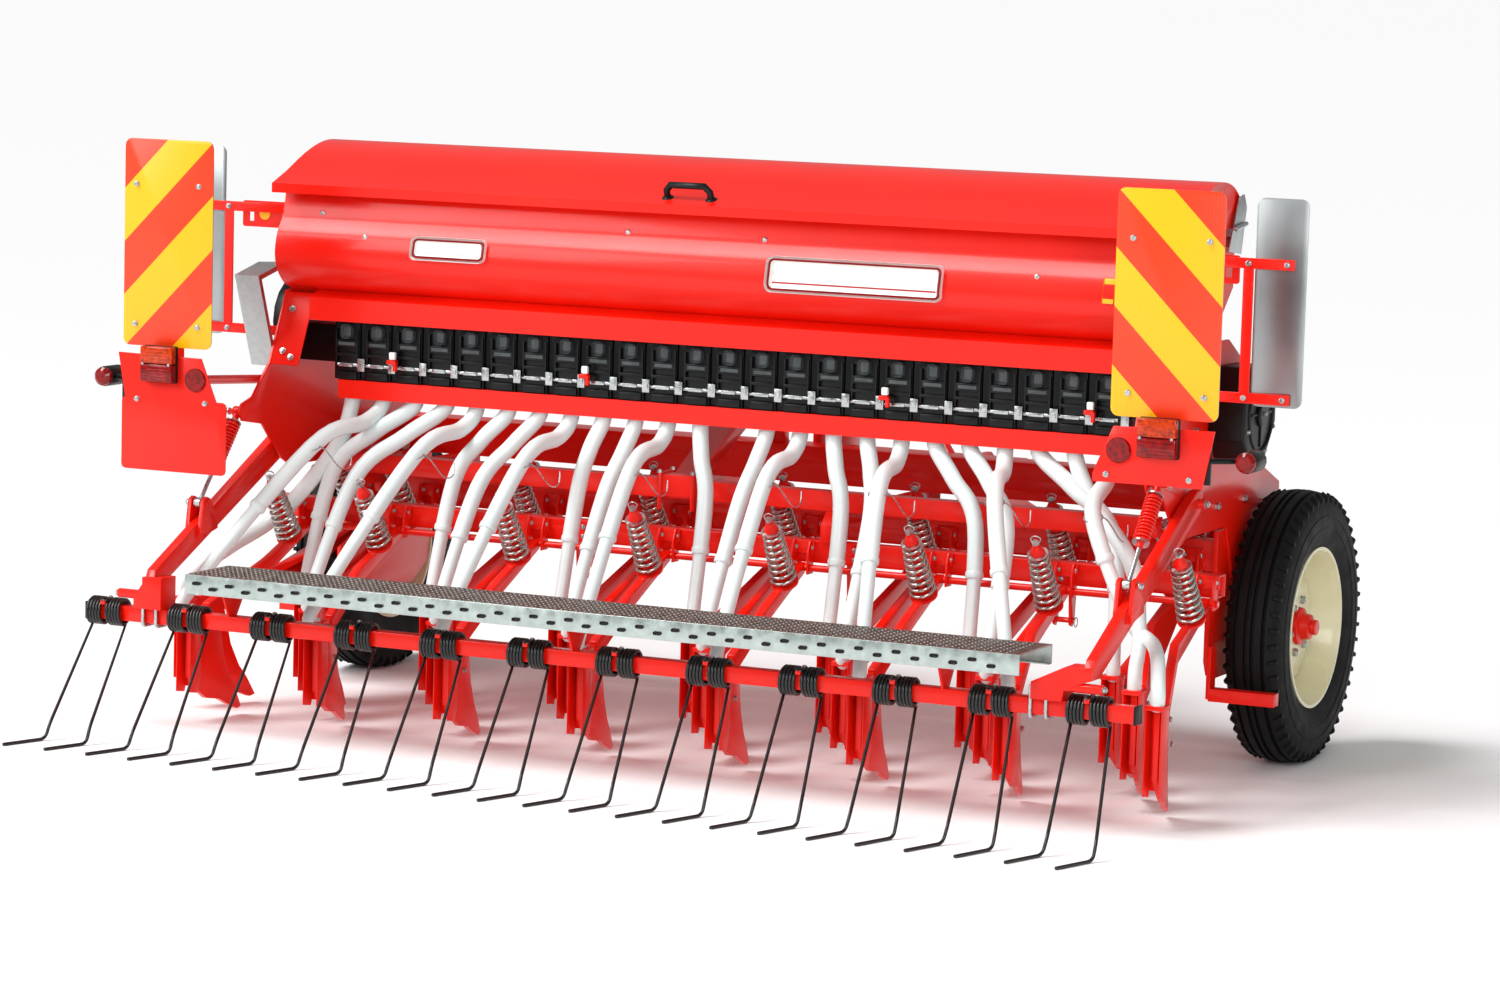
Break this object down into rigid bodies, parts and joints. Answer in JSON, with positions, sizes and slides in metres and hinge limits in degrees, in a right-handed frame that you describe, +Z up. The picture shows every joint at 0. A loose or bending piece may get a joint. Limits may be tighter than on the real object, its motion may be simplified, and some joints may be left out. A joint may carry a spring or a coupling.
{
  "type": "mounted seed drill",
  "caption": "Tractor-mounted mechanical seed drill: long hopper, metering units, seed tubes, sprung hoe coulters in staggered ranks, land wheels and a following tine harrow.",
  "frame": {"origin": "on the ground under the centre of the bounding box", "axes": "+X towards the machine's right end, +Y in the direction of travel (the hitch), +Z up"},
  "size_m": [3.2496, 2.3285, 1.529],
  "materials": {
    "red_enamel": "gloss enamel",
    "zinc_plate": "galvanised",
    "tine_steel": "black paint",
    "black_plastic": "moulded",
    "tyre_rubber": "matt",
    "cream_enamel": "satin enamel",
    "white_tube_plastic": "smooth",
    "marker_board_face": "retroreflective sheet",
    "lamp_lens": "clear moulded"
  },
  "bodies": {
    "machine": {"main_frame": "red_enamel", "headstock": "red_enamel", "pressure_beam": "red_enamel", "side_plate_left": "red_enamel", "side_plate_right": "red_enamel", "wheel_leg_left": "red_enamel", "wheel_leg_right": "red_enamel", "hopper_rear_wall": "red_enamel", "hopper_front_wall": "red_enamel", "hopper_floor": "red_enamel", "hopper_end_left": "red_enamel", "hopper_end_right": "red_enamel", "hopper_apron": "red_enamel", "lid_latch": "zinc_plate", "metering_units": "black_plastic", "metering_shaft": "zinc_plate", "seed_tray": "red_enamel", "seed_tubes": "white_tube_plastic", "coulter_rank_rear": "red_enamel", "coulter_rank_mid": "red_enamel", "coulter_rank_front": "red_enamel", "gearbox": "black_plastic", "gear_quadrant": "zinc_plate", "drive_case_left": "black_plastic", "drive_guard_left": "zinc_plate", "marker_board_rear_left": "marker_board_face", "marker_board_rear_right": "marker_board_face", "marker_board_front_left": "marker_board_face", "marker_board_front_right": "marker_board_face", "front_board_arm_left": "red_enamel", "front_board_arm_right": "red_enamel", "board_bracket_left": "red_enamel", "board_bracket_right": "red_enamel", "tail_lamp_left": "lamp_lens", "tail_lamp_right": "lamp_lens", "side_lamp_left": "black_plastic", "side_lamp_right": "black_plastic"},
    "wheel_left": {"tyre_left": "tyre_rubber", "rim_left": "cream_enamel"},
    "wheel_right": {"tyre_right": "tyre_rubber", "rim_right": "cream_enamel"},
    "lid": {"hopper_lid": "red_enamel", "lid_handle": "black_plastic"},
    "harrow": {"harrow_arm_left": "red_enamel", "harrow_arm_right": "red_enamel", "harrow_bar": "tine_steel", "walkboard": "zinc_plate"},
    "strut_tube_body_left": {"strut_tube_left": "red_enamel"},
    "strut_tube_body_right": {"strut_tube_right": "red_enamel"},
    "strut_rod_body_left": {"strut_rod_left": "zinc_plate"},
    "strut_rod_body_right": {"strut_rod_right": "zinc_plate"}
  },
  "joints": [
    {"name": "wheel_spin_left", "type": "hinge", "parent": "machine", "child": "wheel_left", "pos_m": [-1.375, 0.54, 0.356], "axis": [1, 0, 0], "continuous": true},
    {"name": "wheel_spin_right", "type": "hinge", "parent": "machine", "child": "wheel_right", "pos_m": [1.375, 0.54, 0.356], "axis": [1, 0, 0], "continuous": true},
    {"name": "lid_open", "type": "hinge", "parent": "machine", "child": "lid", "pos_m": [0, 0.268, 1.398], "axis": [-1, 0, 0], "range_deg": [0, 95]},
    {"name": "harrow_lift", "type": "hinge", "parent": "machine", "child": "harrow", "pos_m": [0, -0.07, 0.73], "axis": [-1, 0, 0], "range_deg": [-1, 12]},
    {"name": "strut_turn_left", "type": "hinge", "parent": "machine", "child": "strut_tube_body_left", "pos_m": [-1.3065, -0.333, 0.802], "axis": [-1, 0, 0], "range_deg": [-1.6, 18.4]},
    {"name": "strut_slide_left", "type": "slide", "parent": "strut_tube_body_left", "child": "strut_rod_body_left", "axis": [0, 0.6358, 0.7718], "range_m": [-0.0042, 0.0484]},
    {"name": "strut_turn_right", "type": "hinge", "parent": "machine", "child": "strut_tube_body_right", "pos_m": [1.3065, -0.333, 0.802], "axis": [-1, 0, 0], "range_deg": [-1.6, 18.4]},
    {"name": "strut_slide_right", "type": "slide", "parent": "strut_tube_body_right", "child": "strut_rod_body_right", "axis": [0, 0.6358, 0.7718], "range_m": [-0.0042, 0.0484]}
  ],
  "couplings": [
    {"joint": "strut_turn_left", "follows": "harrow_lift", "ratio": 1.52},
    {"joint": "strut_slide_left", "follows": "harrow_lift", "m_per_rad": 0.23},
    {"joint": "strut_turn_right", "follows": "harrow_lift", "ratio": 1.52},
    {"joint": "strut_slide_right", "follows": "harrow_lift", "m_per_rad": 0.23}
  ]
}
